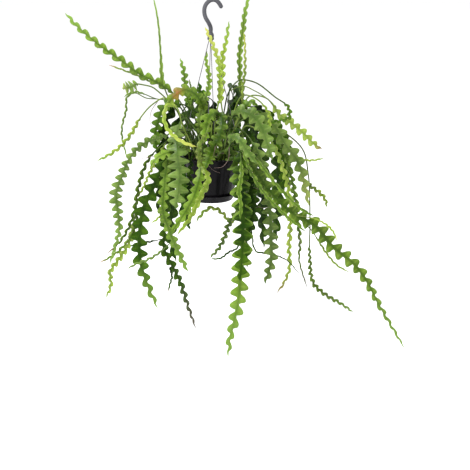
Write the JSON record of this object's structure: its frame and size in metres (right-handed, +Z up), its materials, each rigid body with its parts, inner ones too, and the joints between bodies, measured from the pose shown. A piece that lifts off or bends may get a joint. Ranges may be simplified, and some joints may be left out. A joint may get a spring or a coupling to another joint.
{
  "type": "potted fishbone cactus",
  "caption": "Fishbone cactus with long zigzag-lobed flat stems spilling from a small round plastic pot with a saucer, hung by wires from a plastic hook",
  "frame": {"origin": "the hook's saddle, inside the top of the hanger's hook, on the pot's axis", "axes": "+Z up; -Y faces the viewer, the side the picture shows; +X to the viewer's right"},
  "size_m": [0.8366, 0.4071, 0.8685],
  "materials": {
    "pot_black": "smooth, semi-gloss",
    "saucer_black": "smooth, glossy",
    "soil_brown": "rough, crumbly potting mix",
    "hook_grey": "satin moulded",
    "wire_steel": "drawn wire, satin",
    "stem_dark": "dark green, waxy satin living stem",
    "stem_green": "mid green, waxy satin living stem",
    "stem_sage": "grey green, waxy satin living stem",
    "stem_lime": "lime green young stem, waxy satin"
  },
  "bodies": {
    "root": {"pot": "pot_black", "saucer": "saucer_black", "soil": "soil_brown", "hanger_hook": "hook_grey", "hanger_wire_1": "wire_steel", "hanger_wire_2": "wire_steel", "hanger_wire_3": "wire_steel", "hanger_wire_4": "wire_steel", "stem_upper_left_arm": "stem_green", "stem_tall_rod_left": "stem_dark", "stem_starburst_left": "stem_sage", "stem_thin_arch_left": "stem_lime", "stem_side_blade_left": "stem_dark", "stem_lime_curl_left": "stem_lime", "stem_upright_left": "stem_dark", "stem_rust_blade": "stem_green", "stem_short_upright": "stem_green", "stem_yellow_at_hook": "stem_lime", "stem_lime_upright": "stem_lime", "stem_tall_right": "stem_dark", "stem_yellow_tall_right": "stem_lime", "stem_high_arc_right": "stem_dark", "stem_lower_arc_right": "stem_lime", "stem_yellow_lobed_right": "stem_lime", "stem_light_edge_right": "stem_sage", "stem_dark_mass_right": "stem_dark", "stem_sage_crown_right": "stem_sage", "stem_light_curl_right": "stem_sage", "stem_long_right_arm": "stem_green", "stem_upper_band_right": "stem_green", "stem_very_dark_right": "stem_dark", "stem_thin_dark_right": "stem_dark", "stem_sage_right": "stem_sage", "stem_lime_right": "stem_lime", "stem_short_right": "stem_green", "stem_long_rod_right": "stem_dark", "stem_scalloped_left": "stem_sage", "stem_sideways_left": "stem_green", "stem_lime_narrow_left": "stem_lime", "stem_big_dark_left": "stem_dark", "stem_front_light": "stem_lime", "stem_wide_sage_left": "stem_sage", "stem_front_broad": "stem_green", "stem_lower_front_left": "stem_green", "stem_light_left_low": "stem_green", "stem_grey_behind_left": "stem_dark", "stem_brown_tip_left": "stem_green", "stem_dark_toothed_left": "stem_dark", "stem_curl_below_pot": "stem_lime", "stem_round_lobed_low": "stem_sage", "stem_longest_centre": "stem_green", "stem_dark_over_centre": "stem_dark", "stem_back_left_low": "stem_dark", "stem_back_left_outer": "stem_dark", "stem_back_middle_left": "stem_dark", "stem_back_middle": "stem_dark", "stem_back_right_low": "stem_dark", "stem_back_right_outer": "stem_dark", "stem_back_far": "stem_dark"}
  },
  "joints": []
}
